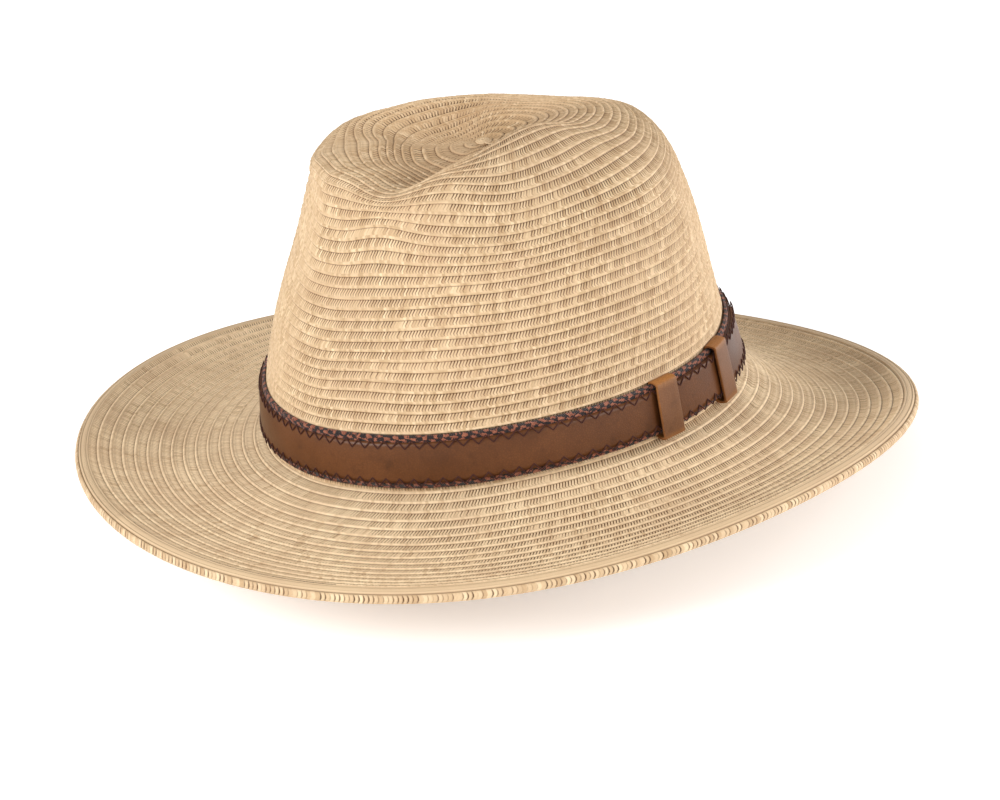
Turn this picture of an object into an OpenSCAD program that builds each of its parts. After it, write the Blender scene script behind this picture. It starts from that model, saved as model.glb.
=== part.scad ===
/* [Crown] */
// Half length of the head opening, outside the straw
crown_front = 103.5; // [96:0.5:112]
// Half width of the head opening, outside the straw
crown_side = 86; // [80:0.5:94]
// Thickness of the sewn straw braid
straw_t = 1.5; // [1.2:0.1:1.8]
// Height of the crown where the braid starts, at the bottom of the dent
tip_z = 112; // [108:1:114]
// How much shallower the pinch on the wearer's right is
right_pinch_fill = 6.5; // [0:0.5:7]
// How much deeper the pinch on the wearer's left is
left_pinch_extra = 2.5; // [0:0.5:3]

/* [Brim] */
// Width of the brim, mean of all round
brim_w = 76; // [66:1:86]
// Extra width of the brim at the front, less at the back
brim_front_extra = 2.5; // [0:0.5:5]
// Extra width of the brim at front and back, less at the sides
brim_length_extra = 2.5; // [0:0.5:5]
// Height of the brim's edge at the front
edge_front = 1.5; // [-6:0.5:8]
// Height of the brim's edge on the wearer's left
edge_left = -2; // [-12:0.5:8]
// Height of the brim's edge on the wearer's right
edge_right = -13.5; // [-24:0.5:0]
// Height of the brim's edge at the back
edge_back = -31; // [-40:0.5:-16]
// Wave of the edge between front and sides
edge_wave = 1; // [0:0.5:3]
// Twist of the edge, up at front right and back left
edge_twist = 6.8; // [0:0.2:9]
// Depth of the hollow across the brim
brim_dip = 7; // [3:0.5:10]
// Extra depth of the hollow at the back
brim_dip_back = 5; // [0:0.5:6]
// Width of the stiff outer rows round the edge
lip_w = 5.5; // [5:0.5:7]
// Height of the folded edge braid
lip_h = 5; // [4.6:0.2:6]
// Diameter of the edge wire
wire_d = 1.4; // [1:0.1:1.5]

/* [Hat band] */
// Gap between the straw and the back of a keeper loop
band_gap = 0.4; // [0.3:0.05:0.6]
// Thickness of the patterned trim under the leather
trim_t = 0.7; // [0.5:0.1:0.8]
// Thickness of the leather strip
leather_t = 0.85; // [0.6:0.05:1]
// Thickness of the strap's tongue
tongue_t = 1; // [0.8:0.1:1.2]
// Width of a keeper loop along the band
loop_w = 11; // [8:0.5:13]
// Thickness of a keeper loop's leather
loop_t = 1; // [0.8:0.1:1.2]
// Place of the front keeper loop round the band, degrees from the front
loop_front_at = 104; // [100:1:108]
// Place of the rear keeper loop round the band, degrees from the front
loop_rear_at = 127; // [123:1:131]
// Length of one zigzag stitch along the band
zigzag_pitch = 5.8; // [5:0.1:8]

/* [Sweatband] */
// Thickness of the sweatband
sweat_t = 0.8; // [0.6:0.1:1]
// Thickness of the tapes and pads sewn to the sweatband
tape_t = 0.4; // [0.3:0.05:0.5]
// Thickness of the size strap
strap_t = 0.8; // [0.6:0.1:1]

/* [Hidden] */

// Angles run from the front (-Y) over the wearer's left (+X) to the back (+Y).
steps = 72;
skin = 0.05;               // gap between sewn layers of one body

// The braid is a spiral of rows, counted up from the head opening to the button.
rows_per_knot = 5;
last_knot = 9;
crown_top_row = 44.6;      // the hole in the middle holds the button's stem
crown_rings = 24;
front_crowding = 0.75;     // below 1 sets the stations closer together at the front
last_station = 8;

// Each line is one profile of the crown, from the front to the back of one half:
// [share of the head opening's oval, height] at every fifth row.
PROFILES = [
  [[1, -2], [.985, 19], [.947, 38], [.892, 57], [.815, 76.5], [.742, 98], [.683, 117.5], [.47, 114.5],
    [.293, 110.3], [0, tip_z]],
  [[1, -2], [.985, 19], [.945, 38], [.885, 57], [.805, 77], [.73, 99], [.675, 117], [.465, 114], [.29, 110],
    [0, tip_z]],
  [[1, -1], [.985, 20], [.94, 41], [.88, 60], [.8, 80], [.72, 103], [.68, 114], [.45, 112], [.28, 110],
    [0, tip_z]],
  [[1, 0], [.98, 21], [.945, 41], [.885, 62], [.82, 82], [.76, 101], [.64, 118], [.5, 120], [.24, 113],
    [0, tip_z]],
  [[1, 2], [.97, 22], [.945, 42], [.9, 62], [.845, 82], [.76, 98], [.61, 114], [.38, 123], [.2, 113],
    [0, tip_z]],
  [[1, 2], [.97, 22], [.95, 43], [.915, 63], [.85, 83], [.75, 99], [.55, 113], [.3, 123], [.17, 115],
    [0, tip_z]],
  [[1, 1], [.965, 22], [.945, 42], [.91, 62], [.86, 82], [.77, 100], [.54, 113], [.3, 121], [.18, 117],
    [0, tip_z]],
  [[1, -1], [.95, 22], [.91, 43], [.87, 65], [.82, 85], [.75, 101], [.6, 110], [.39, 116], [.21, 117],
    [0, tip_z]],
  [[1, -2], [.95, 22], [.905, 44], [.865, 65], [.81, 85], [.735, 104], [.64, 111], [.48, 115], [.26, 116],
    [0, tip_z]]
];

// The band lies on the lowest rows of the crown.
trim_rows = [0.6, 5.9];
leather_rows = [1.2, 5.3];
tongue_from = 103;         // the strap's end starts under the front loop
tongue_to = 155;
loop_rows = [0.2, 6.3];
loop_leg_t = 0.6;
loop_end = 0.22;            // leather above and below the band, in rows
trim_off = band_gap + loop_leg_t + 0.4;
leather_off = trim_off + trim_t + skin;
tongue_off = leather_off + leather_t + skin;
loop_front_off = tongue_off + tongue_t + 1;   // clears the stitching on the strap's end
zigzag_r = 0.3;
zigzag_off = leather_off + leather_t + skin + zigzag_r;
zigzag_swing = 0.42;       // half the height of a stitch, in rows
zigzag_in = 0.14;          // distance of its middle from the leather's edge

// The sweatband lines the lowest rows from inside.
sweat_rows = [0.3, 6.8];
sweat_off = -straw_t - 0.4;
tape_off = sweat_off - sweat_t - 0.15;
hook_off = tape_off - tape_t - 0.35;
strap_off = hook_off - tape_t - skin;

brim_rings = 9;
wire_r = wire_d / 2;
wire_back = 2.8;           // distance of the wire inside the outermost edge
wire_drop = 3.4;           // and below the top of the edge

function catmull(a, b, c, d, u) =
  0.5 * (2 * b + (c - a) * u + (2 * a - 5 * b + 4 * c - d) * u * u + (3 * b - a - 3 * c + d) * u * u * u);

function knot(s, i) =
  i < 0 ? 2 * PROFILES[s][0] - PROFILES[s][1]
  : i > last_knot ? [-PROFILES[s][2 * last_knot - i][0], PROFILES[s][2 * last_knot - i][1]]
  : PROFILES[s][i];

// Point of one station's profile at a row
function station(s, row) =
  let (v = max(row, 0) / rows_per_knot, i = min(floor(v), last_knot - 1), u = v - i)
  catmull(knot(s, i - 1), knot(s, i), knot(s, i + 1), knot(s, i + 2), u);

function mirrored(s) = s < 0 ? -s : s > last_station ? 2 * last_station - s : s;

// Share of the oval and height at an angle and a row, alike on both sides of the hat
function crown_share(angle, row) =
  let (
    v = last_station * pow(min(angle, 360 - angle) / 180, front_crowding),
    i = min(floor(v), last_station - 1),
    u = v - i
  )
  catmull(
    station(mirrored(i - 1), row), station(i, row),
    station(i + 1, row), station(mirrored(i + 2), row), u
  );

function bell(x, middle, width) = exp(-pow((x - middle) / width, 2));

// Height that sets the two pinches apart: the wearer's right one is shallower, the left one deeper
function pinch_height(angle, row) =
  let (a = angle > 180 ? angle - 360 : angle)
  (right_pinch_fill * bell(a, -25, 14) - left_pinch_extra * bell(a, 26, 12)) * bell(row, 36, 5.5);

function crown_point(angle, row) =
  let (p = crown_share(angle, row), z = p[1] + pinch_height(angle, row) * min(1, 4 * p[0]))
  [p[0] * crown_side * sin(angle), -p[0] * crown_front * cos(angle), z];

function unit(v) = v / norm(v);

// Outward normal of the crown's surface
function crown_normal(angle, row) =
  let (
    a = (angle + 359) % 360, b = (angle + 1) % 360,
    across = crown_point(b, row) - crown_point(a, row),
    up = crown_point(angle, row + 0.3) - crown_point(angle, row - 0.3)
  )
  unit(cross(across, up));

// Outward normal of the head opening, level
function oval_normal(angle) = unit([sin(angle) / crown_side, -cos(angle) / crown_front, 0]);

// Point beside the crown's wall, off millimetres outside it
function wall_point(angle, row, off) = crown_point(angle, row) + off * oval_normal(angle);

// Width and edge height of the brim
function brim_width(angle) =
  brim_w + brim_front_extra * cos(angle) + brim_length_extra * cos(2 * angle);
function edge_z(angle) =
  (edge_front + edge_back + edge_left + edge_right) / 4
  + ((edge_front - edge_back) / 2 - edge_wave) * cos(angle)
  + (edge_front + edge_back - edge_left - edge_right) / 4 * cos(2 * angle)
  + edge_wave * cos(3 * angle)
  + (edge_left - edge_right) / 2 * sin(angle)
  - edge_twist * sin(2 * angle);

// Point of the brim's top side, share 0 at the crown and 1 where the edge braid starts
function brim_point(angle, share) =
  let (root = crown_point(angle, 0), dip = brim_dip + brim_dip_back * pow((1 - cos(angle)) / 2, 2))
  root + share * (brim_width(angle) - lip_w) * oval_normal(angle)
  + [0, 0, share * (edge_z(angle) - root[2]) - 4 * dip * share * (1 - share)];

// Point outside the brim, in millimetres out of the crown and up from the edge
function edge_point(angle, out, up) =
  let (root = crown_point(angle, 0))
  [root[0], root[1], edge_z(angle) + up] + (brim_width(angle) + out) * oval_normal(angle);

// Closed ring, one cross-section per angle
module ring(sections) {
  n = len(sections);
  m = len(sections[0]);
  polyhedron(
    points = [for (s = sections) each s],
    faces = [
      for (i = [0 : n - 1], k = [0 : m - 1])
        let (i2 = (i + 1) % n, k2 = (k + 1) % m)
        each [[i * m + k, i2 * m + k, i2 * m + k2], [i * m + k, i2 * m + k2, i * m + k2]]
    ]
  );
}

// Open arc, closed by a flat cap at each end
module arc(sections) {
  n = len(sections);
  m = len(sections[0]);
  polyhedron(
    points = [for (s = sections) each s],
    faces = concat(
      [
        for (i = [0 : n - 2], k = [0 : m - 1])
          let (k2 = (k + 1) % m)
          each [[i * m + k, (i + 1) * m + k, (i + 1) * m + k2], [i * m + k, (i + 1) * m + k2, i * m + k2]]
      ],
      [for (k = [1 : m - 2]) [0, k, k + 1]],
      [for (k = [1 : m - 2]) [(n - 1) * m, (n - 1) * m + k + 1, (n - 1) * m + k]]
    )
  );
}

// Tube along an arc: outer and inner cross-sections have the same number of points
module sleeve(outer, inner) {
  n = len(outer);
  m = len(outer[0]);
  far = n * m;
  last = (n - 1) * m;
  polyhedron(
    points = concat([for (s = outer) each s], [for (s = inner) each s]),
    faces = concat(
      [
        for (i = [0 : n - 2], k = [0 : m - 1])
          let (k2 = (k + 1) % m, a = i * m, b = (i + 1) * m)
          each [
            [a + k, b + k, b + k2], [a + k, b + k2, a + k2],
            [far + a + k, far + b + k2, far + b + k], [far + a + k, far + a + k2, far + b + k2]
          ]
      ],
      [
        for (k = [0 : m - 1])
          let (k2 = (k + 1) % m)
          each [
            [k, k2, far + k2], [k, far + k2, far + k],
            [last + k, far + last + k2, last + k2], [last + k, far + last + k, far + last + k2]
          ]
      ]
    )
  );
}

// Cross-section of a strip that follows the wall, from inside to outside
function strip(angle, rows, off, t, levels = 3) =
  let (at = [for (j = [0 : levels - 1]) rows[0] + (rows[1] - rows[0]) * j / (levels - 1)])
  concat(
    [for (j = [0 : levels - 1]) wall_point(angle, at[levels - 1 - j], off)],
    [for (j = [0 : levels - 1]) wall_point(angle, at[j], off + t)]
  );

module wall_ring(rows, off, t) {
  ring([for (i = [0 : steps - 1]) strip(i * 360 / steps, rows, off, t)]);
}

module wall_arc(from, to, rows, off, t, pieces = 8) {
  arc([for (i = [0 : pieces]) strip(from + (to - from) * i / pieces, rows, off, t)]);
}

module crown() {
  color("wheat")
  ring([
    for (i = [0 : steps - 1])
      let (angle = i * 360 / steps)
      concat(
        [
          for (j = [crown_rings : -1 : 0])
            let (row = crown_top_row * j / crown_rings)
            crown_point(angle, row) - straw_t * crown_normal(angle, row)
        ],
        [for (j = [0 : crown_rings]) crown_point(angle, crown_top_row * j / crown_rings)]
      )
  ]);
}

// Nub where the braid starts, with its stem through the middle of the crown
module crown_button() {
  stem_r = 0.8;
  nub_r = 3.2;
  color("tan")
  translate([0, 0, tip_z + 0.5])
  rotate_extrude($fn = 48)
  polygon([
    [0, -2.4], [stem_r, -2.4], [stem_r, 0], [nub_r, 0], [nub_r, 0.5], [nub_r * 0.8, 1.1],
    [nub_r * 0.4, 1.4], [0, 1.5]
  ]);
}

// The brim's inner edge lies under the bottom of the crown
module brim() {
  color("wheat")
  ring([
    for (i = [0 : steps - 1])
      let (angle = i * 360 / steps, under = crown_point(angle, 0) - straw_t * oval_normal(angle))
      concat(
        [for (j = [brim_rings : -1 : 0]) brim_point(angle, j / brim_rings) - [0, 0, straw_t + skin]],
        [under - [0, 0, straw_t + 0.4], under - [0, 0, 0.4]],
        [for (j = [0 : brim_rings]) brim_point(angle, j / brim_rings) - [0, 0, skin]]
      )
  ]);
}

// Outer rows, folded down over the wire
module brim_edge_braid() {
  color("burlywood")
  ring([
    for (i = [0 : steps - 1])
      let (angle = i * 360 / steps)
      [
        edge_point(angle, skin - lip_w, -straw_t),
        edge_point(angle, -1.5, -2.3),
        edge_point(angle, -1.2, -lip_h),
        edge_point(angle, 0.2, -lip_h + 0.1),
        edge_point(angle, 0.1, -1.7),
        edge_point(angle, -1.2, -0.6),
        edge_point(angle, skin - lip_w, 0)
      ]
  ]);
}

// Round cross-section beside the wire's centre
function wire_section(angle, r, sides) =
  [for (k = [0 : sides - 1])
    edge_point(angle, r * sin(360 * k / sides) - wire_back, r * cos(360 * k / sides) - wire_drop)];

module brim_wire() {
  color("silver")
  ring([for (i = [0 : steps - 1]) wire_section(i * 360 / steps, wire_r, 6)]);
}

// Tube that joins the wire's ends at the back
module wire_ferrule() {
  angles = [for (i = [-2 : 2]) 180 + i];
  color("goldenrod")
  sleeve(
    [for (a = angles) wire_section(a, wire_r + 0.5, 8)],
    [for (a = angles) wire_section(a, wire_r + 0.2, 8)]
  );
}

module sweatband() {
  color("black")
  wall_ring(sweat_rows, sweat_off - sweat_t, sweat_t);
}

// Line of thread that holds the sweatband to the straw
module sweatband_stitching() {
  color("dimgray")
  wall_ring([0.6, 0.75], tape_off - 0.3, 0.3);
}

module sweatband_seam_tape() {
  color("black")
  wall_arc(175.5, 184.5, [1.1, 6.5], tape_off - tape_t, tape_t, 4);
}

module care_label() {
  color("white")
  wall_arc(214, 236, [1.4, 5.9], tape_off - tape_t, tape_t);
}

// Fixed half of the size adjuster
module loop_pad() {
  color("black")
  wall_arc(150, 171, [2.1, 4.9], tape_off - tape_t, tape_t);
}

// Hooks on the back of the size strap
module hook_pad() {
  color("dimgray")
  wall_arc(163, 176, [2.3, 4.7], hook_off - tape_t, tape_t);
}

module size_strap() {
  color("black")
  wall_arc(160, 203, [2.1, 4.9], strap_off - strap_t, strap_t, 12);
}

module band_trim() {
  color("saddlebrown")
  wall_ring(trim_rows, trim_off, trim_t);
}

module band_leather() {
  color("sienna")
  wall_ring(leather_rows, leather_off, leather_t);
}

// End of the strap, which laps over the band and passes through both keeper loops
module band_tongue() {
  color("sienna")
  wall_arc(tongue_from, tongue_to, leather_rows, tongue_off, tongue_t, 16);
}

// How far the stitching is lifted by the strap's end, 0 beside it and 1 over it
function over_tongue(angle) =
  min(1, max(0, min((angle - tongue_from + 3) / 2.5, (tongue_to + 3.2 - angle) / 2.5)));

// Zigzag stitches along one edge of the leather
module zigzag(middle_row) {
  stitches = floor(PI * (crown_front + crown_side + 2 * leather_off) / zigzag_pitch);
  color("#3a2420")
  ring([
    for (i = [0 : 2 * stitches - 1])
      let (
        angle = i * 180 / stitches,
        row = middle_row + (i % 2 == 0 ? zigzag_swing : -zigzag_swing),
        c = wall_point(angle, row, zigzag_off + over_tongue(angle) * (tongue_t + skin)),
        out = oval_normal(angle)
      )
      [
        c + zigzag_r * out,
        c - 0.5 * zigzag_r * out - [0, 0, 0.87 * zigzag_r],
        c - 0.5 * zigzag_r * out + [0, 0, 0.87 * zigzag_r]
      ]
  ]);
}

module zigzag_thread_upper() {
  zigzag(leather_rows[1] - zigzag_in);
}

module zigzag_thread_lower() {
  zigzag(leather_rows[0] + zigzag_in);
}

// Leather loop round the whole band, with a leg behind it
module keeper_loop(at) {
  half = loop_w / 2 / norm([crown_side * cos(at), crown_front * sin(at)]) * 180 / PI;
  angles = [for (i = [-2 : 2]) at + half * i / 2];
  inner_rows = [loop_rows[0] + loop_end, loop_rows[1] - loop_end];
  inner_t = loop_front_off - band_gap - loop_leg_t;
  color("peru")
  sleeve(
    [for (a = angles) strip(a, loop_rows, band_gap, loop_front_off + loop_t - band_gap)],
    [for (a = angles) strip(a, inner_rows, band_gap + loop_leg_t, inner_t)]
  );
}

module keeper_loop_front() {
  keeper_loop(loop_front_at);
}

module keeper_loop_rear() {
  keeper_loop(loop_rear_at);
}

// Short stitches that hold the trim to the crown
module band_tacks() {
  color("#3a2420")
  for (angle = [30, 80, 150, 210, 270, 330])
    translate(wall_point(angle, 5.4, skin + 0.1))
    rotate([0, 90, atan2(oval_normal(angle)[1], oval_normal(angle)[0])])
    cylinder(h = trim_off - 2 * skin - 0.2, r = 0.5, $fn = 24);
}

crown();
crown_button();
brim();
brim_edge_braid();
brim_wire();
wire_ferrule();
sweatband();
sweatband_stitching();
sweatband_seam_tape();
care_label();
loop_pad();
hook_pad();
size_strap();
band_trim();
band_leather();
band_tongue();
zigzag_thread_upper();
zigzag_thread_lower();
keeper_loop_front();
keeper_loop_rear();
band_tacks();
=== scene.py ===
"""Straw fedora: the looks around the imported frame.

The frame is in metres, +Z up, with the front of the hat towards -Y. Shapes here are worked out in
millimetres, as in the CAD source, and angles are in degrees from the front towards the wearer's left.
"""

import bmesh
import bpy
import numpy as np
from mathutils import Matrix, Vector


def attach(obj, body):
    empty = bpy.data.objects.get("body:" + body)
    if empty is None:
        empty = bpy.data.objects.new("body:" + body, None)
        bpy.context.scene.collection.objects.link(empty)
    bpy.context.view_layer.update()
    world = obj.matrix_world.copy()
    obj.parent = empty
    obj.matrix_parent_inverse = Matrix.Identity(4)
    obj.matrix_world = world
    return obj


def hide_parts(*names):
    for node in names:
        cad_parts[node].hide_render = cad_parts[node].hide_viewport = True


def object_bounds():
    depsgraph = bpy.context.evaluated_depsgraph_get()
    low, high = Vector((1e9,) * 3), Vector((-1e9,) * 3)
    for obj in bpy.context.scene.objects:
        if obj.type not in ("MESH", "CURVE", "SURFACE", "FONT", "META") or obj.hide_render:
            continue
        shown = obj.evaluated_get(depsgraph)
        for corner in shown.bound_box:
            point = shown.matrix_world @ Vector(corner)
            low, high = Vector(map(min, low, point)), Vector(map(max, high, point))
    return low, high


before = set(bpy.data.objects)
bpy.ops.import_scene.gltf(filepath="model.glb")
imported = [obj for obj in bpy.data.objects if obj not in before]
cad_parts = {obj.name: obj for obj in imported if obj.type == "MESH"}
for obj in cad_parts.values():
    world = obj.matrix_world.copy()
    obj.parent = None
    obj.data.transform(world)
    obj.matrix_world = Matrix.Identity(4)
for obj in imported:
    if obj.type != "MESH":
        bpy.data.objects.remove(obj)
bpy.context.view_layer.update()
MM = 0.001

# ---------------------------------------------------------------- the hat's form, as in the CAD source
SIDE, FRONT, TIP_Z = 86.0, 103.5, 112.0
RIGHT_FILL, LEFT_EXTRA = 6.5, 2.5
BRIM_W, BRIM_FRONT, BRIM_LENGTH = 76.0, 2.5, 2.5
EDGE_FRONT, EDGE_LEFT, EDGE_RIGHT, EDGE_BACK = 1.5, -2.0, -13.5, -31.0
EDGE_WAVE, EDGE_TWIST, BRIM_DIP, DIP_BACK, LIP_W = 1.0, 6.8, 7.0, 5.0, 5.5
BRIM_ROWS, CROWN_ROWS, KNOT_ROWS = 15.0, 45.0, 5
ROW_MM = 4.5           # usual width of a row
# crown in profile, front to back: share of the head opening and height, every five rows
PROFILES = np.array([
    [(1, -2), (.985, 19), (.947, 38), (.892, 57), (.815, 76.5), (.742, 98),
     (.683, 117.5), (.47, 114.5), (.293, 110.3), (0, 112)],
    [(1, -2), (.985, 19), (.945, 38), (.885, 57), (.805, 77), (.73, 99),
     (.675, 117), (.465, 114), (.29, 110), (0, 112)],
    [(1, -1), (.985, 20), (.94, 41), (.88, 60), (.8, 80), (.72, 103),
     (.68, 114), (.45, 112), (.28, 110), (0, 112)],
    [(1, 0), (.98, 21), (.945, 41), (.885, 62), (.82, 82), (.76, 101),
     (.64, 118), (.5, 120), (.24, 113), (0, 112)],
    [(1, 2), (.97, 22), (.945, 42), (.9, 62), (.845, 82), (.76, 98),
     (.61, 114), (.38, 123), (.2, 113), (0, 112)],
    [(1, 2), (.97, 22), (.95, 43), (.915, 63), (.85, 83), (.75, 99),
     (.55, 113), (.3, 123), (.17, 115), (0, 112)],
    [(1, 1), (.965, 22), (.945, 42), (.91, 62), (.86, 82), (.77, 100),
     (.54, 113), (.3, 121), (.18, 117), (0, 112)],
    [(1, -1), (.95, 22), (.91, 43), (.87, 65), (.82, 85), (.75, 101),
     (.6, 110), (.39, 116), (.21, 117), (0, 112)],
    [(1, -2), (.95, 22), (.905, 44), (.865, 65), (.81, 85), (.735, 104),
     (.64, 111), (.48, 115), (.26, 116), (0, 112)],
], float)
KNOTS = np.concatenate([
    2 * PROFILES[:, :1] - PROFILES[:, 1:2], PROFILES, PROFILES[:, 8:9] * np.array([-1, 1])
], axis=1)
FOLD = np.array([1, 0, 1, 2, 3, 4, 5, 6, 7, 8, 7])   # profiles to use past the front and the back


def weights(u):
    """Catmull-Rom weights of the four knots round a place."""
    return np.stack([
        -.5 * u + u * u - .5 * u ** 3, 1 - 2.5 * u * u + 1.5 * u ** 3,
        .5 * u + 2 * u * u - 1.5 * u ** 3, -.5 * u * u + .5 * u ** 3,
    ], -1)


def bell(x, middle, width):
    return np.exp(-((x - middle) / width) ** 2)


def crown_point(angle, row):
    """Point of the crown at an angle from the front and a row up from the head opening."""
    a, r = np.broadcast_arrays(np.asarray(angle, float) % 360, np.maximum(row, 0.0))
    v = 8 * (np.minimum(a, 360 - a) / 180) ** .75
    i = np.clip(np.floor(v).astype(int), 0, 7)
    k = np.clip(np.floor(r / KNOT_ROWS).astype(int), 0, 8)
    wa, wr = weights(v - i), weights(r / KNOT_ROWS - k)
    ia = FOLD[i[..., None] + np.arange(4)]
    ir = k[..., None] + np.arange(4)
    q = np.einsum("...a,...b,...abc->...c", wa, wr, KNOTS[ia[..., :, None], ir[..., None, :]])
    side = np.where(a > 180, a - 360, a)
    apart = (RIGHT_FILL * bell(side, -25, 14) - LEFT_EXTRA * bell(side, 26, 12)) * bell(r, 36, 5.5)
    t = np.radians(a)
    z = q[..., 1] + apart * np.minimum(1, 4 * q[..., 0])
    return np.stack([q[..., 0] * SIDE * np.sin(t), -q[..., 0] * FRONT * np.cos(t), z], -1)


def unit(v):
    return v / np.maximum(np.linalg.norm(v, axis=-1, keepdims=True), 1e-12)


def oval_normal(angle):
    t = np.radians(angle)
    return unit(np.stack([np.sin(t) / SIDE, -np.cos(t) / FRONT, 0 * t], -1))


def brim_width(angle):
    t = np.radians(angle)
    return BRIM_W + BRIM_FRONT * np.cos(t) + BRIM_LENGTH * np.cos(2 * t)


def edge_z(angle):
    t = np.radians(angle)
    return (
        (EDGE_FRONT + EDGE_BACK + EDGE_LEFT + EDGE_RIGHT) / 4
        + ((EDGE_FRONT - EDGE_BACK) / 2 - EDGE_WAVE) * np.cos(t)
        + (EDGE_FRONT + EDGE_BACK - EDGE_LEFT - EDGE_RIGHT) / 4 * np.cos(2 * t)
        + EDGE_WAVE * np.cos(3 * t)
        + (EDGE_LEFT - EDGE_RIGHT) / 2 * np.sin(t)
        - EDGE_TWIST * np.sin(2 * t)
    )


def brim_point(angle, share):
    """Point of the brim at a share of the way from the crown to the lip."""
    root = crown_point(angle, 0.0)
    out = (share * (brim_width(angle) - LIP_W))[..., None] * oval_normal(angle)
    dip = BRIM_DIP + DIP_BACK * ((1 - np.cos(np.radians(angle))) / 2) ** 2
    up = share * (edge_z(angle) - root[..., 2]) - 4 * dip * share * (1 - share)
    return root + out + up[..., None] * np.array([0, 0, 1.0])


def edge_point(angle, out, up):
    """Point beside the brim's edge."""
    root = crown_point(angle, 0.0)
    p = root + (brim_width(angle) + out)[..., None] * oval_normal(angle)
    p[..., 2] = edge_z(angle) + up
    return p


def straw_point(angle, row):
    """The braid's surface: the crown above row 0, the brim below it."""
    angle, row = np.broadcast_arrays(np.asarray(angle, float), np.asarray(row, float))
    return np.where(row[..., None] >= 0, crown_point(angle, row), brim_point(angle, -row / BRIM_ROWS))


def one_side_normal(angle, row, on_crown):
    point = crown_point if on_crown else (lambda a, r: brim_point(a, -r / BRIM_ROWS))
    step = .12
    r = np.clip(row, step, 44.6) if on_crown else np.minimum(row, -step)
    across = point(angle + 1.0, r) - point(angle - 1.0, r)
    up = point(angle, r + step) - point(angle, r - step)
    return unit(np.cross(across, up))


def straw_normal(angle, row):
    """Outward normal, eased over the bend between crown and brim."""
    angle, row = np.broadcast_arrays(np.asarray(angle, float), np.asarray(row, float))
    w = np.clip(row / 1.2 + .5, 0, 1)[..., None]
    w = w * w * (3 - 2 * w)
    return unit(w * one_side_normal(angle, row, True) + (1 - w) * one_side_normal(angle, row, False))


def wall_point(angle, row, off):
    """Point beside the crown's wall, off millimetres outside it, as the band lies."""
    return crown_point(angle, row) + np.asarray(off, float)[..., None] * oval_normal(angle)


# ---------------------------------------------------------------- mesh helpers
def grid_mesh(name, points, material, attributes=None, closed=False, levels_closed=False, flip=False):
    """A sheet of quads from points[level, column]. The front faces outwards when levels run downwards."""
    rows, cols = points.shape[:2]
    i = np.arange(rows if levels_closed else rows - 1)
    j = np.arange(cols if closed else cols - 1)
    i, j = np.meshgrid(i, j, indexing="ij")
    i2, j2 = (i + 1) % rows, (j + 1) % cols
    corners = [i * cols + j, i2 * cols + j, i2 * cols + j2, i * cols + j2]
    if flip:
        corners = corners[::-1]
    quads = np.stack(corners, -1).reshape(-1, 4)
    return quad_mesh(name, points.reshape(-1, 3), quads, material, attributes)


def quad_mesh(name, vertices, quads, material, attributes=None):
    """A smooth mesh of quads, with one number per vertex for each attribute."""
    mesh = bpy.data.meshes.new(name)
    mesh.vertices.add(len(vertices))
    mesh.vertices.foreach_set("co", (np.asarray(vertices) * MM).astype(np.float32).ravel())
    mesh.loops.add(len(quads) * 4)
    mesh.loops.foreach_set("vertex_index", quads.astype(np.int32).ravel())
    mesh.polygons.add(len(quads))
    mesh.polygons.foreach_set("loop_start", np.arange(0, len(quads) * 4, 4, dtype=np.int32))
    mesh.polygons.foreach_set("use_smooth", np.ones(len(quads), bool))
    for key, values in (attributes or {}).items():
        data = mesh.attributes.new(key, "FLOAT", "POINT").data
        data.foreach_set("value", np.asarray(values, np.float32).ravel())
    mesh.update(calc_edges=True)
    mesh.validate()
    mesh.materials.append(material)
    obj = bpy.data.objects.new(name, mesh)
    bpy.context.collection.objects.link(obj)
    return obj


def along_columns(points):
    """Length from the first column to each column of points[column]."""
    return np.concatenate([[0], np.cumsum(np.linalg.norm(np.diff(points, axis=0), axis=1))])


def round_levels(points):
    """Length round each closed level of points[level, column]."""
    return np.cumsum(np.linalg.norm(points - np.roll(points, 1, axis=1), axis=2), axis=1)


def place(obj, body, slot, *nodes):
    """Puts a piece on its body and over the CAD nodes that it replaces. slot is not used."""
    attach(obj, body)
    if nodes:
        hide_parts(*nodes)
    return obj


# ---------------------------------------------------------------- material helpers
def srgb(r, g, b):
    c = np.array([r, g, b], float) / 255
    return tuple(np.where(c <= .04045, c / 12.92, ((c + .055) / 1.055) ** 2.4)) + (1.0,)


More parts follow.
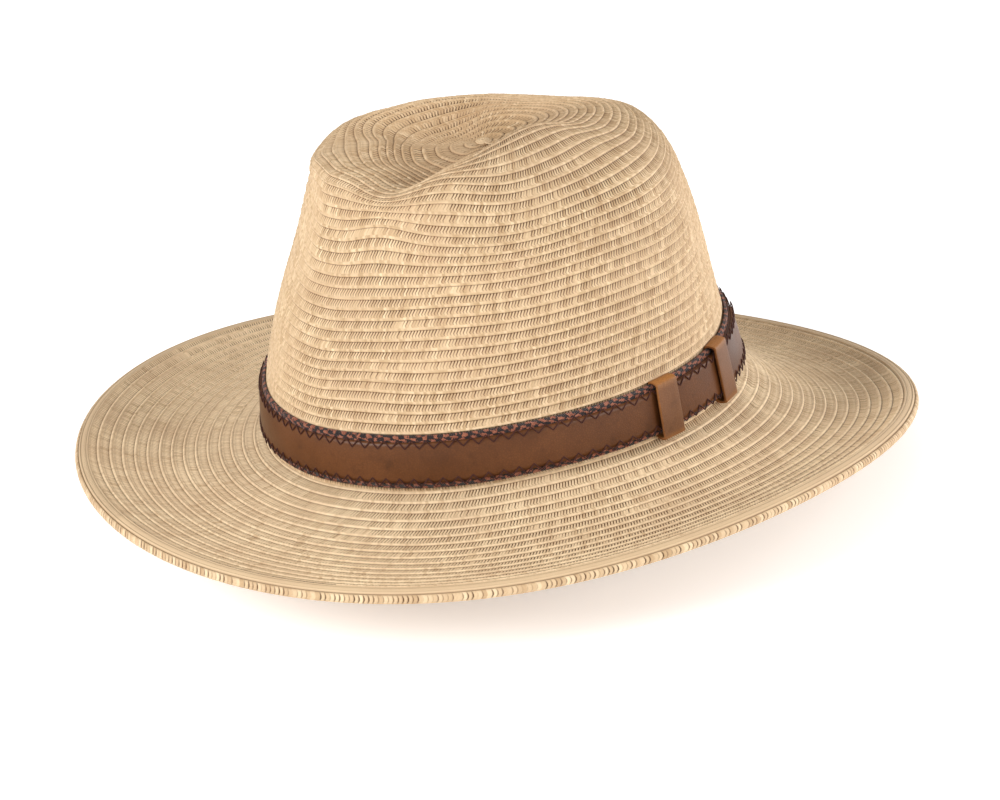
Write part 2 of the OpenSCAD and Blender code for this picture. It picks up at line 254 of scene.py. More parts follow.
class Nodes:
    """Short hand for building one material's nodes."""

    def __init__(self, name, roughness=.6, specular=.3, sheen=0.0):
        self.material = bpy.data.materials.new(name)
        self.material.use_nodes = True
        self.tree = self.material.node_tree
        self.shader = self.tree.nodes["Principled BSDF"]
        self.shader.inputs["Roughness"].default_value = roughness
        self.shader.inputs["Specular IOR Level"].default_value = specular
        self.shader.inputs["Sheen Weight"].default_value = sheen

    def node(self, kind, **settings):
        n = self.tree.nodes.new(kind)
        for key, value in settings.items():
            setattr(n, key, value)
        return n

    def link(self, a, b):
        self.tree.links.new(a, b)

    def put(self, socket, value):
        if isinstance(value, bpy.types.NodeSocket):
            self.link(value, socket)
        else:
            socket.default_value = value

    def coords(self):
        return self.node("ShaderNodeTexCoord").outputs["Object"]

    def attribute(self, name):
        return self.node("ShaderNodeAttribute", attribute_name=name).outputs["Fac"]

    def noise(self, vector, scale, detail=3.0, rough=.6, distortion=0.0):
        n = self.node("ShaderNodeTexNoise")
        self.put(n.inputs["Vector"], vector)
        n.inputs["Scale"].default_value = scale
        n.inputs["Detail"].default_value = detail
        n.inputs["Roughness"].default_value = rough
        n.inputs["Distortion"].default_value = distortion
        return n.outputs["Fac"]

    def math(self, operation, a, b=0.0, c=0.0, clamp=False):
        n = self.node("ShaderNodeMath", operation=operation, use_clamp=clamp)
        self.put(n.inputs[0], a)
        self.put(n.inputs[1], b)
        self.put(n.inputs[2], c)
        return n.outputs[0]

    def span(self, value, low, high, to_low=0.0, to_high=1.0):
        n = self.node("ShaderNodeMapRange")
        self.put(n.inputs[0], value)
        for k, x in enumerate((low, high, to_low, to_high)):
            self.put(n.inputs[k + 1], x)
        return n.outputs[0]

    def mix(self, factor, a, b, blend="MIX"):
        n = self.node("ShaderNodeMix", data_type="RGBA", blend_type=blend)
        self.put(n.inputs[0], factor)
        self.put(n.inputs[6], a)
        self.put(n.inputs[7], b)
        return n.outputs[2]

    def vector(self, x, y, z):
        n = self.node("ShaderNodeCombineXYZ")
        for socket, value in zip(n.inputs, (x, y, z)):
            self.put(socket, value)
        return n.outputs[0]

    def bump(self, height, strength, distance_mm):
        n = self.node("ShaderNodeBump")
        n.inputs["Strength"].default_value = strength
        n.inputs["Distance"].default_value = distance_mm * MM
        self.link(height, n.inputs["Height"])
        self.link(n.outputs[0], self.shader.inputs["Normal"])

    def colour(self, value):
        self.put(self.shader.inputs["Base Color"], value)

    def roughness(self, value):
        self.put(self.shader.inputs["Roughness"], value)


TURN = 2 * np.pi
STRAND = 1.27          # width of one straw strand along the row, mm


def straw_material():
    """Straw strands with a tone of their own and painted light by row, fibres, and painted shade in the slits
    between them, under the cords and in the creases.
    """
    m = Nodes("straw_braid", roughness=.55, specular=.28)
    along, across = m.attribute("along"), m.attribute("across")
    gap, tone = m.attribute("gap"), m.attribute("tone")
    where = m.coords()
    blotch = m.noise(where, 45, 4)
    fibres = m.noise(m.vector(m.math("MULTIPLY", along, 2.2), m.math("MULTIPLY", across, 1.1), 0.0), 3.0, 3)
    # tone holds each strand's own random tone and, on the braid, painted light by row
    base = m.mix(m.span(tone, 0, 1), srgb(186, 154, 116), srgb(236, 210, 172))
    base = m.mix(m.span(blotch, .35, .7, 0, .6), base, srgb(205, 175, 140))
    base = m.mix(m.span(fibres, .45, .8, 0, .35), base, srgb(172, 138, 98))
    # dark is painted shade, mixed in at the slits, under the cords and along the creases
    dark = m.mix(m.span(blotch, .3, .7), srgb(70, 42, 16), srgb(98, 62, 28))
    m.colour(m.mix(m.span(gap, .12, .68), base, dark))
    m.roughness(m.span(fibres, .3, .8, .45, .7))
    slanted = m.math("ADD", along, m.math("MULTIPLY", across, .9))
    lay = m.math("SINE", m.math("MULTIPLY", slanted, TURN / STRAND))
    m.bump(m.math("ADD", fibres, m.math("MULTIPLY", lay, .5)), .5, .2)
    return m.material


def straw_lining_material():
    """The back of the braid, where only the row's shingles and strands show, with painted shade in the slits.
    """
    m = Nodes("straw_back", roughness=.65, specular=.2)
    along, across = m.attribute("along"), m.attribute("across")
    lay = m.math("ADD", along, m.math("MULTIPLY", across, .8))
    wave = m.math("SINE", m.math("MULTIPLY", lay, TURN / STRAND))
    off_middle = m.math("ABSOLUTE", m.math("SUBTRACT", m.math("FRACT", across), .5))
    slit = m.math("MULTIPLY", m.span(wave, .3, .95), m.span(off_middle, .3, .12))
    blotch = m.noise(m.coords(), 60, 3)
    base = m.mix(m.span(blotch, .3, .7), srgb(186, 152, 112), srgb(208, 176, 136))
    # painted shade: the slits are coloured darker
    m.colour(m.mix(m.span(slit, 0, 1, 0, .75), base, srgb(112, 76, 40)))
    m.bump(m.math("SUBTRACT", wave, slit), .5, .25)
    return m.material


def woven_material(name, low, high, weave_mm=.6, roughness=.8, sheen=.3):
    """Plain cloth: two sets of threads, seen as a fine check."""
    m = Nodes(name, roughness=roughness, specular=.2, sheen=sheen)
    along, across = m.attribute("along"), m.attribute("across")
    k = TURN / weave_mm
    warp = m.math("SINE", m.math("MULTIPLY", along, k))
    weft = m.math("SINE", m.math("MULTIPLY", across, k))
    weave = m.math("MULTIPLY", warp, weft)
    m.colour(m.mix(m.span(m.math("ADD", weave, m.noise(m.coords(), 300, 2)), -.6, 1.6), low, high))
    m.bump(weave, .5, .12)
    return m.material


def trim_material():
    """Braided ribbon of dark and copper yarns: small slanted patches of both colours."""
    m = Nodes("patterned_trim", roughness=.65, specular=.25, sheen=.15)
    along, across = m.attribute("along"), m.attribute("across")
    drift = m.noise(m.vector(along, across, 0.0), .55, 2)
    slant = m.math("ADD", along, m.math("MULTIPLY", across, .7))
    slant = m.math("ADD", slant, m.math("MULTIPLY", drift, 5.0))
    patch = m.math("SINE", m.math("MULTIPLY", slant, TURN / 4.6))
    drop = m.math("SUBTRACT", across, m.math("MULTIPLY", along, .12))
    row = m.math("SINE", m.math("MULTIPLY", drop, TURN / 3.4))
    speckle = m.noise(m.vector(m.math("MULTIPLY", along, 1.4), across, 0.0), .9, 2)
    yarn = m.math("SINE", m.math("MULTIPLY", m.math("ADD", along, across), TURN / .8))
    uneven = m.math("MULTIPLY", m.math("SUBTRACT", speckle, .5), 3.0)
    pattern = m.math("ADD", m.math("MULTIPLY", patch, row), uneven)
    copper = m.mix(m.span(drift, .35, .65), srgb(146, 80, 56), srgb(190, 118, 88))
    dark = m.mix(m.span(yarn, -1, 1), srgb(18, 13, 15), srgb(48, 32, 30))
    light = m.mix(m.span(yarn, -.4, 1, 0, .5), copper, srgb(92, 50, 40))
    m.colour(m.mix(m.span(pattern, 0, .3), dark, light))
    m.bump(m.math("ADD", yarn, pattern), .7, .25)
    return m.material


def leather_material(name, light, mid, dark, roughness=.5, fold=None):
    """Grained leather, clouded and streaked. fold is a lighter colour painted where it is bent sharply, a
    painted highlight.
    """
    m = Nodes(name, roughness=roughness, specular=.25)
    where = m.coords()
    cells = m.node("ShaderNodeTexVoronoi", feature="DISTANCE_TO_EDGE")
    m.put(cells.inputs["Vector"], where)
    cells.inputs["Scale"].default_value = 1100
    grain = m.span(cells.outputs["Distance"], 0, .25)
    cloud, streak = m.noise(where, 28, 4), m.noise(where, 190, 3)
    base = m.mix(m.span(cloud, .35, .65), mid, light)
    base = m.mix(m.span(streak, .55, .85, 0, .5), base, dark)
    # painted highlight on the folds
    if fold:
        base = m.mix(m.attribute("fold"), base, fold)
    m.colour(m.mix(m.span(grain, 1, 0, 0, .3), base, dark))
    m.roughness(m.span(cloud, .3, .7, roughness - .06, roughness + .1))
    m.bump(m.math("ADD", m.math("MULTIPLY", grain, .6), streak), .35, .12)
    return m.material


def thread_material(name, low, high):
    """Twisted sewing thread."""
    m = Nodes(name, roughness=.6, specular=.2)
    twist = m.math("SINE", m.math("MULTIPLY", m.attribute("along"), TURN / .5))
    m.colour(m.mix(m.span(twist, -1, 1), low, high))
    m.bump(twist, .5, .08)
    return m.material


def plain_material(name, low, high, roughness=.5, metallic=0.0, scale=400):
    """Metal or nylon with fine unevenness."""
    m = Nodes(name, roughness=roughness, specular=.4)
    m.shader.inputs["Metallic"].default_value = metallic
    n = m.noise(m.coords(), scale, 3)
    m.colour(m.mix(m.span(n, .3, .7), low, high))
    m.roughness(m.span(n, .3, .7, roughness - .08, roughness + .12))
    m.bump(n, .2, .05)
    return m.material


STRAW, STRAW_BACK = straw_material(), straw_lining_material()
TRIM = trim_material()
LEATHER = leather_material("brown_leather", srgb(104, 62, 32), srgb(84, 48, 23), srgb(52, 30, 15), .34)
# the last colour is a lighter tan, the painted highlight on the loops' folds
LOOP_LEATHER = leather_material("loop_leather", srgb(126, 84, 54), srgb(106, 70, 44), srgb(72, 44, 28), .36,
                                 srgb(164, 108, 54))
CUT_EDGE = leather_material("cut_leather_edge", srgb(150, 98, 52), srgb(128, 80, 42), srgb(84, 50, 28), .75)
THREAD = thread_material("plum_thread", srgb(40, 18, 16), srgb(84, 46, 38))
SWEAT_THREAD = thread_material("black_thread", srgb(30, 28, 28), srgb(70, 64, 60))
SWEATBAND = woven_material("sweatband_cloth", srgb(22, 21, 22), srgb(58, 55, 54), .8)
TAPE = woven_material("seam_tape", srgb(18, 17, 18), srgb(48, 46, 46), .5)
LABEL = woven_material("label_satin", srgb(206, 203, 194), srgb(240, 238, 230), .35, .5)
NYLON = plain_material("nylon_pile", srgb(14, 14, 15), srgb(46, 45, 46), .8, scale=1500)
STEEL = plain_material("spring_steel", srgb(140, 140, 142), srgb(190, 190, 192), .35, 1.0)
BRASS = plain_material("brass_ferrule", srgb(176, 140, 70), srgb(208, 176, 106), .35, 1.0)

# ---------------------------------------------------------------- the braid
START, END = -360 * 15.9, 360 * 44.5   # turning angles where the spiral starts and ends
ROW_ZERO, ROW_SHIFT = 60, .15          # where a row begins, and how far it is moved up, in rows


def row_at(theta):
    """Lower edge of the row that passes a turning angle."""
    return (theta - ROW_ZERO) / 360 + ROW_SHIFT


def straw_at(theta, s):
    """Angle and row of a point s of the way down a row's width."""
    row = np.clip(row_at(theta) + 1 - s, -BRIM_ROWS, 44.75)
    return theta % 360, row


walk = np.arange(START, END, 2.0)
centre_line = straw_point(*straw_at(walk, .5))
travel = along_columns(centre_line)

SECTION = np.array([
    # share of the row's width, height over a strand and in the slit, slant, painted shade in the slit and on
    # the strand under the cord
    (-.05, .02, .00, .00, .10, .10),
    (.03, .40, .38, -.05, .00, .00),
    (.12, .62, .59, .05, .00, .00),
    (.21, .46, .36, .18, .00, .00),
    (.29, -.10, -.42, .32, .85, .50),
    (.37, .02, -.55, .20, .95, .04),
    (.77, .10, -.28, -.40, .62, .00),
    (1.02, .26, .06, -.12, .28, .00),
])
ROW_PAINTED_LIGHT = (-1, 0, 31, 37, 44), (.85, .4, .4, .15, .0)   # rows, and how light the straw is painted there: painted light on the brim, painted shade in the dent
COLUMNS = np.array([(0.0, 0.0), (.34, 1.0), (.72, .92)])   # place within a strand, share of its height
PATCH = 9              # strands between places where the slits' depth is drawn anew
BRIM_CREASE_PAINTED_SHADE = .36      # painted shade of the crease line above a row of the brim


def braid(name, first, last):
    """One stretch of the spiral, as strands first to last."""
    strand = np.arange(first, last + 1)
    count = len(strand)
    lane = np.random.default_rng(first + 7)
    width = lane.uniform(.75, 1.25, count)
    knots = np.arange(0, count + PATCH, PATCH)
    patch = np.interp(np.arange(count), knots, lane.normal(.92, .2, len(knots)))
    depth = np.clip(patch + lane.normal(0, .2, count), .25, 1.25)
    lift = lane.normal(0, .035, count)
    home_row = row_at(np.interp(strand * STRAND, travel, walk))
    # each strand's own random tone, plus painted light by row: a lighter brim and a darker dent
    tone = np.clip(np.interp(home_row, *ROW_PAINTED_LIGHT) + lane.normal(0, .22, count), 0, 1)
    place_along = strand[:, None] + COLUMNS[None, :, 0] * (.9 + .1 * width[:, None]) + .12 * lift[:, None]
    place_along = place_along.ravel()[: (count - 1) * 3 + 1]
    solid = np.tile(COLUMNS[:, 1], count)[: len(place_along)]
    owner = np.repeat(np.arange(count), 3)[: len(place_along)]
    share, over, under, slant, slit_painted_shade, strand_painted_shade = SECTION.T[:, :, None]
    s = share + 0 * place_along
    length = (place_along + slant) * STRAND
    angle, row = straw_at(np.interp(length, travel, walk), s)
    slit = (1 - solid) * depth[owner]
    height = over + (under - over) * slit + lift[owner]
    height = height - .05 * ((solid > .5) & (solid < .95))
    points = straw_point(angle, row) + height[..., None] * straw_normal(angle, row)
    # painted shade: darker straw in the slits and just under each cord, where its shadow falls
    gap = np.maximum(slit_painted_shade * np.clip(slit * 1.1, 0, 1), strand_painted_shade)
    # on the brim the top level gets a painted shade line along the crease
    gap[0] = np.where(row[0] < 0, BRIM_CREASE_PAINTED_SHADE, gap[0])
    attributes = {"along": length, "across": s * 4.6, "gap": gap, "tone": tone[owner] + 0 * s}
    return grid_mesh(name, points, STRAW, attributes)


total = int(travel[-1] / STRAND)
brim_end = int(np.interp(ROW_ZERO - 360 * ROW_SHIFT, walk, travel) / STRAND)
brim_parts, crown_parts = 3, 4
cuts = list(np.linspace(0, brim_end, brim_parts + 1).astype(int))
cuts += list(np.linspace(brim_end, total - 2, crown_parts + 1).astype(int)[1:])
for k, (first, last) in enumerate(zip(cuts[:-1], cuts[1:])):
    part, number = ("brim", k) if k < brim_parts else ("crown", k - brim_parts)
    piece = braid(f"{part}_braid_{number + 1}", first, last)
    place(piece, "hat", "straw", *([part] if number == 0 else []))

# the back of the braid: share of a row's width, and height
BACK = [(0.0, -1.25), (.08, -1.62), (.5, -1.5), (.92, -1.3)]


def braid_back(name, low, high, columns):
    """The braid's other side, inside the crown or under the brim."""
    rows = np.arange(high, low, -1.0)
    level = np.array([(r - s, h) for r in rows for s, h in BACK] + [(low, -1.3)])
    angle = np.arange(columns) * 360 / columns
    a, r = np.meshgrid(angle, level[:, 0])
    points = straw_point(a, r) + level[:, 1][:, None, None] * straw_normal(a, r)
    attributes = {"along": round_levels(points), "across": -r}
    place(grid_mesh(name, points, STRAW_BACK, attributes, closed=True, flip=True), "hat", "straw")


braid_back("crown_inside", 0.0, CROWN_ROWS, 240)
braid_back("brim_underside", -BRIM_ROWS, 0.0, 320)

# ---------------------------------------------------------------- button in the middle of the crown
turns = np.linspace(0, 3.2, 120)
radius = .35 + .85 * turns
coil_angle = turns * 2 * np.pi
coil_z = TIP_Z + .9 - .12 * turns ** 1.5
coil = np.stack([radius * np.cos(coil_angle), radius * np.sin(coil_angle), coil_z], -1)


def tube(name, path, radius, material, sides=8, closed=False, flatten=1.0):
    """A round strand along a path. flatten squeezes it along its binormal, and open ends taper."""
    path = np.asarray(path, float)
    if closed:
        tangent = unit(np.roll(path, -1, axis=0) - np.roll(path, 1, axis=0))
    else:
        tangent = unit(np.gradient(path, axis=0))
    helper = np.array([0, 0, 1.0])
    side = np.cross(tangent, helper)
    weak = np.linalg.norm(side, axis=1) < .1
    side[weak] = np.cross(tangent[weak], np.array([1.0, 0, 0]))
    side = unit(side)
    over = unit(np.cross(side, tangent))
    r = np.full(len(path), radius)
    if not closed:
        ends = np.minimum(np.arange(len(path)), np.arange(len(path))[::-1])
        r = r * np.clip(.35 + ends * .4, 0, 1)
    t = np.arange(sides) * 2 * np.pi / sides
    ring = path[None] + r[None, :, None] * (
        np.cos(t)[:, None, None] * side[None] + flatten * np.sin(t)[:, None, None] * over[None])
    attributes = {
        "along": np.tile(along_columns(path), (sides, 1)), "across": np.tile(t[:, None], (1, len(path))),
        "gap": np.zeros((sides, len(path))), "tone": np.full((sides, len(path)), .6),
    }
    return grid_mesh(name, ring, material, attributes, closed=closed, levels_closed=True)


place(tube("button_coil", coil, .62, STRAW, flatten=.7), "hat", "straw", "crown_button")
tail = np.array([
    (2.6, -.5, 112.9), (4.0, -1.5, 113.4), (5.2, -1.2, 113.2), (6.2, .2, 112.9), (6.6, 1.6, 112.7),
])
place(tube("button_tail", tail, .75, STRAW, flatten=.35), "hat", "straw")

# ---------------------------------------------------------------- lip of the brim
LIP_TOP = np.array([
    # out,   up,  painted shade
    (-5.9, -.55, .3), (-5.6, .05, .1), (-5.2, .30, 0), (-4.8, .28, 0), (-4.6, .0, .45), (-4.3, .18, .1),
    (-3.4, .10, 0), (-2.6, -.14, .1), (-2.35, -.30, .45), (-2.05, .02, 0), (-1.7, -.15, 0), (-1.45, -.75, .3),
    (-1.3, -1.3, .6),
])
angle = np.arange(480) * .75
a, k = np.meshgrid(angle, np.arange(len(LIP_TOP)))
lip_out, lip_up, lip_gap = LIP_TOP.T
points = edge_point(a, lip_out[k], lip_up[k])
# the third column is painted shade in the lip's grooves
attributes = {"along": round_levels(points), "across": k * .8, "gap": lip_gap[k], "tone": .55 + 0 * a}
place(grid_mesh("lip_band", points, STRAW, attributes, closed=True), "hat", "straw", "brim_edge_braid")

# rolled edge: wide strands in a C
ROLL = np.array([
    # out,   up,   slit depth, shift, painted shade
    (-1.35, -1.3, .0, -.10, .6),
    (-.95, -.95, .1, .05, .3),
    (-.35, -1.15, .3, .25, .55),
    (.10, -1.9, .4, .42, .8),
    (.28, -2.8, .4, .42, .85),
    (.12, -3.7, .35, .20, .7),
    (-.35, -4.5, .2, -.10, .4),
    (-1.0, -4.85, .1, -.30, .1),
    (-1.6, -4.6, .0, -.30, .2),
    (-1.9, -3.6, .0, -.30, .3),
    (-2.4, -2.3, .0, -.30, .3),
    (-5.6, -1.6, .0, -.30, .2),
])
walk_edge = np.linspace(0, 360, 721)
rim = edge_point(walk_edge, 0 * walk_edge, 0 * walk_edge)
rim_travel = along_columns(rim)
LIP_STRAND = 1.9       # width of one strand on the rolled edge, mm
strands = int(round(rim_travel[-1] / LIP_STRAND))
lane = np.random.default_rng(41)
depth = np.repeat(np.clip(lane.normal(.75, .35, strands), .15, 1.3), 3)
tone = np.repeat(np.clip(lane.normal(.4, .3, strands), 0, 1), 3)
column = (np.arange(strands)[:, None] + np.array([0, .3, .75])[None]).ravel() / strands
solid = np.tile([0, 1, .95], strands)
slit = (1 - solid) * depth
place_along = column[None, :] + ROLL[:, 3][:, None] / strands
a = np.interp((place_along % 1) * rim_travel[-1], rim_travel, walk_edge)
sink = ROLL[:, 2][:, None] * slit[None, :]
points = edge_point(a, ROLL[:, 0][:, None] - sink, ROLL[:, 1][:, None] + 0 * sink)
# painted shade in the roll's slits
attributes = {
    "along": column[None, :] * rim_travel[-1] + 0 * a, "across": np.arange(len(ROLL))[:, None] * .6 + 0 * a,
    "gap": ROLL[:, 4][:, None] * np.clip(slit, 0, 1)[None, :], "tone": tone[None, :] + 0 * a,
}
# painted shade along the crease where the roll meets the lip
attributes["gap"][0] = .55
place(grid_mesh("lip_roll", points, STRAW, attributes, closed=True), "hat", "straw")

# ---------------------------------------------------------------- hat band
TRIM_ROWS, LEATHER_ROWS, LOOP_ROWS = (.6, 5.9), (1.2, 5.3), (.2, 6.3)
TRIM_OFF, TRIM_T = 1.4, .7
LEATHER_OFF, LEATHER_T = TRIM_OFF + TRIM_T + .05, .85
TONGUE_OFF, TONGUE_T = LEATHER_OFF + LEATHER_T + .05, 1.0
TONGUE_FROM, TONGUE_TO = 103.0, 155.0
LOOP_INNER = TONGUE_OFF + TONGUE_T + 1.0
LOOP_T, LOOP_BACK, LOOP_LEG, LOOP_HALF = 1.0, .4, .6, 5.5
ZIGZAG_IN, ZIGZAG_SWING = .14, .42


def strap(name, rows, inner, thick, material, body, slot, nodes=(), span=None, columns=360, crown_mm=.0,
          wobble=0.0, seed=1):
    """A strip round the crown with rounded edges. Rows are its lower and upper edge."""
    closed = span is None
    angle = np.arange(columns) * 360 / columns if closed else np.linspace(span[0], span[1], columns)
    up, edge = np.linspace(0, 1, 12), .28
    profile = [(0.0, inner), (0.0, inner + thick * .45)]
    profile += [(edge * .25 / 4.6, inner + thick * .85)]
    profile += [(x, inner + thick + crown_mm * (1 - (2 * x - 1) ** 2)) for x in
                edge / 18 + up * (1 - edge / 9)]
    profile += [(1 - edge * .25 / 4.6, inner + thick * .85), (1.0, inner + thick * .45), (1.0, inner)]
    profile = np.array(profile[::-1])
    lane = np.random.default_rng(seed)
    drift = sum(
        lane.normal(0, wobble / f) * np.sin(np.radians(angle) * f + lane.uniform(0, 6)) for f in range(1, 9))
    a, k = np.meshgrid(angle, np.arange(len(profile)))
    row = rows[0] + (rows[1] - rows[0]) * profile[k, 0] + drift[None, :]
    points = wall_point(a, row, profile[k, 1])
    return strip_mesh(name, points, (row - rows[0]) * ROW_MM, material, closed, body, slot, nodes)


def strip_mesh(name, points, across, material, closed, body, slot, nodes):
    """A strip from the ring of points in each column, with its ends capped when it isn't a whole turn."""
    levels, columns = points.shape[:2]
    attributes = {"along": np.tile(along_columns(points[3]), (levels, 1)), "across": across}
    obj = grid_mesh(name, points, material, attributes, closed=closed, levels_closed=True)
    if not closed:
        cap_ends(obj, levels, columns)
    return place(obj, body, slot, *nodes)


def cap_ends(obj, levels, columns):
    """Closes the open ends of a strip made by grid_mesh."""
    bm = bmesh.new()
    bm.from_mesh(obj.data)
    bm.verts.ensure_lookup_table()
    for column, turn in ((0, 1), (columns - 1, -1)):
        ring = [bm.verts[i * columns + column] for i in range(levels)][::turn]
        bm.faces.new(ring)
    bmesh.ops.recalc_face_normals(bm, faces=bm.faces)
    bm.to_mesh(obj.data)
    bm.free()


strap("trim_ribbon", TRIM_ROWS, TRIM_OFF - .5, TRIM_T + .5, TRIM, "hat", "trim", ["band_trim"], wobble=.012)
strap("leather_strap", LEATHER_ROWS, LEATHER_OFF, LEATHER_T, LEATHER, "hat", "leather", ["band_leather"],
      crown_mm=.15, wobble=.006, seed=3)
strap("strap_end", LEATHER_ROWS, TONGUE_OFF, TONGUE_T, LEATHER, "hat", "leather", ["band_tongue"],
      span=(TONGUE_FROM, TONGUE_TO), columns=60, crown_mm=.1, seed=3)


def over_tongue(angle):
    return np.clip(np.minimum(angle - TONGUE_FROM + 3, TONGUE_TO + 3.2 - angle) / 2.5, 0, 1)


STITCH_MM = 5.8        # length along the band of one whole zigzag
STITCHES = int(np.pi * (FRONT + SIDE + 2 * LEATHER_OFF) / STITCH_MM)


def zigzag(name, middle, node, seed):
    """Zigzag stitching as one thread, dipping at the needle holes."""
    lane = np.random.default_rng(seed)
    steps = 6
    count = 2 * STITCHES
    t = np.arange(count * steps) / steps
    corner = lane.normal(0, .012, count + 1)
    corner[-1] = corner[0]
    whole = np.floor(t).astype(int)
    f = t - whole
    sign = np.where(whole % 2 == 0, 1, -1)
    swing = ZIGZAG_SWING * (sign * (1 - 2 * f)) + corner[whole] * (1 - f) + corner[whole + 1] * f
    angle = t * 180 / STITCHES
    arch = np.sin(np.pi * f)
    off = LEATHER_OFF + LEATHER_T + .05 + .26 * arch ** .5 + over_tongue(angle) * (TONGUE_T + .1)
    path = wall_point(angle, middle + swing, off)
    place(tube(name, path, .27, THREAD, sides=6, closed=True), "hat", "thread", node)


zigzag("zigzag_upper", LEATHER_ROWS[1] - ZIGZAG_IN, "zigzag_thread_upper", 5)
zigzag("zigzag_lower", LEATHER_ROWS[0] + ZIGZAG_IN, "zigzag_thread_lower", 6)


def keeper(name, at, body, node):
    """Folded leather loop round the band."""
    half = np.degrees(LOOP_HALF / np.hypot(SIDE * np.cos(np.radians(at)), FRONT * np.sin(np.radians(at))))
    lo, hi = LOOP_ROWS
    front, corner = LOOP_INNER + LOOP_T, .24
    middle, deep = (front + LOOP_BACK) / 2, (front - LOOP_BACK) / 2
    x = np.linspace(0, 1, 12)
    fold = [(np.sin(t), np.cos(t)) for t in np.linspace(0, np.pi, 9)]
    outer = list(zip(lo + corner + x * (hi - lo - 2 * corner), front + .25 * (1 - (2 * x - 1) ** 2)))
    outer += [(hi - corner + corner * sx, middle + deep * cx) for sx, cx in fold][1:]
    outer += [(lo + corner - corner * sx, middle - deep * cx) for sx, cx in fold][:-1]
    outer = np.array(outer)
    centre_row = (lo + hi) / 2
    inner = outer.copy()
    inner[:, 0] = centre_row + (outer[:, 0] - centre_row) * (1 - .42 / (hi - lo))
    depth_mid = (LOOP_INNER + LOOP_BACK + LOOP_LEG) / 2
    depth_half = (LOOP_INNER - LOOP_BACK - LOOP_LEG) / 2
    inner[:, 1] = depth_mid + (np.clip(outer[:, 1], LOOP_BACK, front) - middle) / deep * depth_half
    across = np.array([-1, -.985, -.93, -.6, -.2, .2, .6, .93, .985, 1])
    ease = np.array([.5, .18, 0, 0, 0, 0, 0, 0, .18, .5])
    a = (at + half * across)[:, None]

    def shell(ring, shrink):
        """One skin of the loop, eased back at its cut edges."""
        r, o = ring[:, 0] + 0 * a, ring[:, 1] + 0 * a
        o = o - np.sign(o - middle) * ease[:, None] * shrink
        return wall_point(a + 0 * r, r, o)

    # outer skin, then back along the inner skin
    loops = np.concatenate([shell(outer, .35), shell(inner, -.1)[::-1]], axis=0)
    levels = len(loops)
    # where the leather bends round, it takes the painted highlight colour
    bend = np.clip((np.abs(outer[:, 0] - centre_row) - (hi - lo) / 2 + .38) / .34, 0, 1)
    obj = grid_mesh(name, loops, LOOP_LEATHER, {"fold": np.tile(bend, levels)}, closed=True,
                    levels_closed=True)
    obj.data.materials.append(CUT_EDGE)
    edges = [0, len(across) - 2, len(across) - 1, len(across), levels - 2, levels - 1]
    cut = np.repeat(np.isin(np.arange(levels), edges), len(outer))
    obj.data.polygons.foreach_set("material_index", cut.astype(np.int32))
    bm = bmesh.new()
    bm.from_mesh(obj.data)
    bmesh.ops.recalc_face_normals(bm, faces=bm.faces)
    bm.to_mesh(obj.data)
    bm.free()
    place(obj, body, "loop_leather", node)


keeper("front_keeper", 104.0, "front_loop", "keeper_loop_front")
keeper("rear_keeper", 127.0, "rear_loop", "keeper_loop_rear")

# ---------------------------------------------------------------- inside the crown
SWEAT_OFF, SWEAT_T, ON_SWEATBAND = -1.9, .8, -2.85


def inside_strip(name, rows, outer, thick, material, body, slot, nodes=(), span=None, columns=360,
                 ripple=0.0, seed=1):
    """A strip against the inside of the crown. ripple waves its free edge."""
    closed = span is None
    angle = np.arange(columns) * 360 / columns if closed else np.linspace(span[0], span[1], columns)
    lane = np.random.default_rng(seed)
    up = np.linspace(0, 1, 10)
    profile = [(0, outer), (0, outer - thick * .5)] + [(x, outer - thick) for x in .02 + .96 * up]
    profile += [(1, outer - thick * .5), (1, outer)]
    profile = np.array(profile)
    a, k = np.meshgrid(angle, np.arange(len(profile)))
    wave = sum(
        lane.normal(0, 1 / f) * np.sin(np.radians(angle) * f * 3 + lane.uniform(0, 6)) for f in range(1, 7))
    off = profile[k, 1] + ripple * wave[None, :] * profile[k, 0] * (profile[k, 1] < outer - .1 * thick)
    row = rows[0] + (rows[1] - rows[0]) * profile[k, 0]
    points = wall_point(a, row, off)
    return strip_mesh(name, points, (row - rows[0]) * ROW_MM, material, closed, body, slot, nodes)


inside_strip("sweatband_cloth", (.3, 6.8), SWEAT_OFF, SWEAT_T, SWEATBAND, "hat", "sweatband_cloth",
             ["sweatband"], ripple=.05, seed=8)
inside_strip("sweatband_tape", (1.1, 6.5), ON_SWEATBAND, .4, TAPE, "hat", "sweatband_cloth",
             ["sweatband_seam_tape"], span=(175.5, 184.5), columns=16)
inside_strip("blank_label", (1.4, 5.9), ON_SWEATBAND, .35, LABEL, "hat", "label_cloth", ["care_label"],
             span=(214, 236), columns=30)
inside_strip("adjuster_strap", (2.1, 4.9), -4.05, .8, TAPE, "size_adjuster", "sweatband_cloth",
             ["size_strap"], span=(160, 203), columns=50)


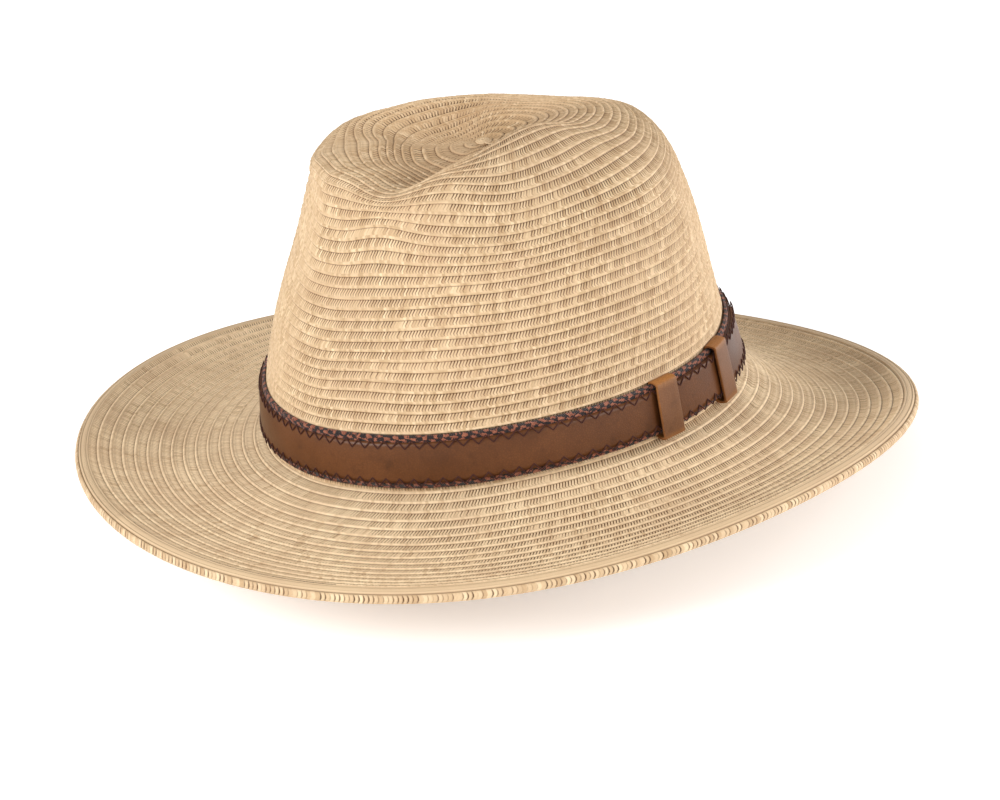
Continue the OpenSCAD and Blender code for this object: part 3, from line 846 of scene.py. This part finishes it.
def stitch_line(name, row, off, body, node, stitch=2.6, radius=.16):
    """Running stitches once round the hat, as short separate threads in one mesh."""
    turn = np.linspace(0, 360, 1440)
    p = wall_point(turn, row + 0 * turn, off + 0 * turn)
    run = along_columns(p)
    count = int(run[-1] / stitch)
    parts, faces, length = [], [], []
    lift = np.array([.12, -.02, -.1, -.1, -.02, .12])
    t = np.arange(5) * TURN / 5
    i, j = np.meshgrid(np.arange(5), np.arange(5), indexing="ij")
    i2 = (i + 1) % 5
    one = np.stack([i * 6 + j, i2 * 6 + j, i2 * 6 + j + 1, i * 6 + j + 1], -1).reshape(-1, 4)
    for n in range(count):
        x = (n + np.array([.08, .16, .35, .65, .84, .92])) * run[-1] / count
        a = np.interp(x, run, turn)
        path = wall_point(a, row + 0 * a, off + lift)
        tangent = unit(np.gradient(path, axis=0))
        side = unit(np.cross(tangent, np.array([0, 0, 1.0])))
        over = np.cross(side, tangent)
        ring = path[None] + radius * (np.cos(t)[:, None, None] * side + np.sin(t)[:, None, None] * over)
        parts.append(ring.reshape(-1, 3))
        faces.append(30 * n + one)
        length.append(np.tile(x, 5))
    obj = quad_mesh(name, np.concatenate(parts), np.concatenate(faces), SWEAT_THREAD,
                    {"along": np.concatenate(length)})
    place(obj, body, "thread", node)


stitch_line("sweatband_stitches", .68, -2.75, "hat", "sweatband_stitching")

# the CAD solids that stay visible get the finer materials
for node, material in (
        ("brim_wire", STEEL), ("wire_ferrule", BRASS), ("loop_pad", NYLON), ("hook_pad", NYLON),
        ("band_tacks", THREAD)):
    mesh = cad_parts[node].data
    mesh.materials.clear()
    mesh.materials.append(material)

# ---------------------------------------------------------------- camera
AZIMUTH, ELEVATION, ROLL_ANGLE = np.radians(60.05), np.radians(25.16), np.radians(-4.97)
DISTANCE, FOCAL_PX, TARGET_X, TARGET_Z = 1501.0, 3570.0, -2.37, -3.97
SENSOR, PICTURE_PX = 36, 1000
right = np.array([np.cos(AZIMUTH), np.sin(AZIMUTH), 0])
back = np.array([
    np.sin(AZIMUTH) * np.cos(ELEVATION), -np.cos(AZIMUTH) * np.cos(ELEVATION), np.sin(ELEVATION),
])
up = np.cross(back, right)
cam_x = np.cos(ROLL_ANGLE) * right + np.sin(ROLL_ANGLE) * up
cam_y = -np.sin(ROLL_ANGLE) * right + np.cos(ROLL_ANGLE) * up
eye = (TARGET_X * right + TARGET_Z * up + DISTANCE * back) * MM
camera_data = bpy.data.cameras.new("camera")
camera_data.sensor_width = SENSOR
camera_data.lens = FOCAL_PX * SENSOR / PICTURE_PX
camera_data.clip_start, camera_data.clip_end = .05, 20
camera = bpy.data.objects.new("camera", camera_data)
bpy.context.collection.objects.link(camera)
camera.matrix_world = Matrix([
    (cam_x[0], cam_y[0], back[0], eye[0]), (cam_x[1], cam_y[1], back[1], eye[1]),
    (cam_x[2], cam_y[2], back[2], eye[2]), (0, 0, 0, 1),
])
bpy.context.scene.camera = camera

# ---------------------------------------------------------------- studio
FLOOR_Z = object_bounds()[0][2] - .0005
bpy.ops.mesh.primitive_plane_add(size=12, location=(0, 0, FLOOR_Z))
floor = bpy.context.object
floor.name = "floor"
floor_material = Nodes("pale_floor", roughness=.9, specular=.1)
floor_material.colour((.93, .93, .93, 1))
floor_material.shader.inputs["Emission Color"].default_value = (1, 1, 1, 1)
floor_material.shader.inputs["Emission Strength"].default_value = .35
floor.data.materials.append(floor_material.material)

world = bpy.data.worlds.new("studio")
bpy.context.scene.world = world
world.use_nodes = True
world.node_tree.nodes["Background"].inputs[0].default_value = (1, 1, 1, 1)
world.node_tree.nodes["Background"].inputs[1].default_value = .56


def area_light(name, place_at, size, power):
    """A round soft light aimed at the hat."""
    data = bpy.data.lights.new(name, "AREA")
    data.shape, data.size, data.energy = "DISK", size, power
    light = bpy.data.objects.new(name, data)
    bpy.context.collection.objects.link(light)
    light.location = place_at
    light.rotation_euler = (Vector((0, 0, .05)) - Vector(place_at)).to_track_quat("-Z", "Y").to_euler()


area_light("key", (.1, -1.65, 1.05), .9, 31)
area_light("fill", (1.7, .8, .6), .9, 17)
area_light("rim", (.45, 1.9, .55), 1.5, 20)
bpy.context.scene.view_settings.view_transform = "Standard"
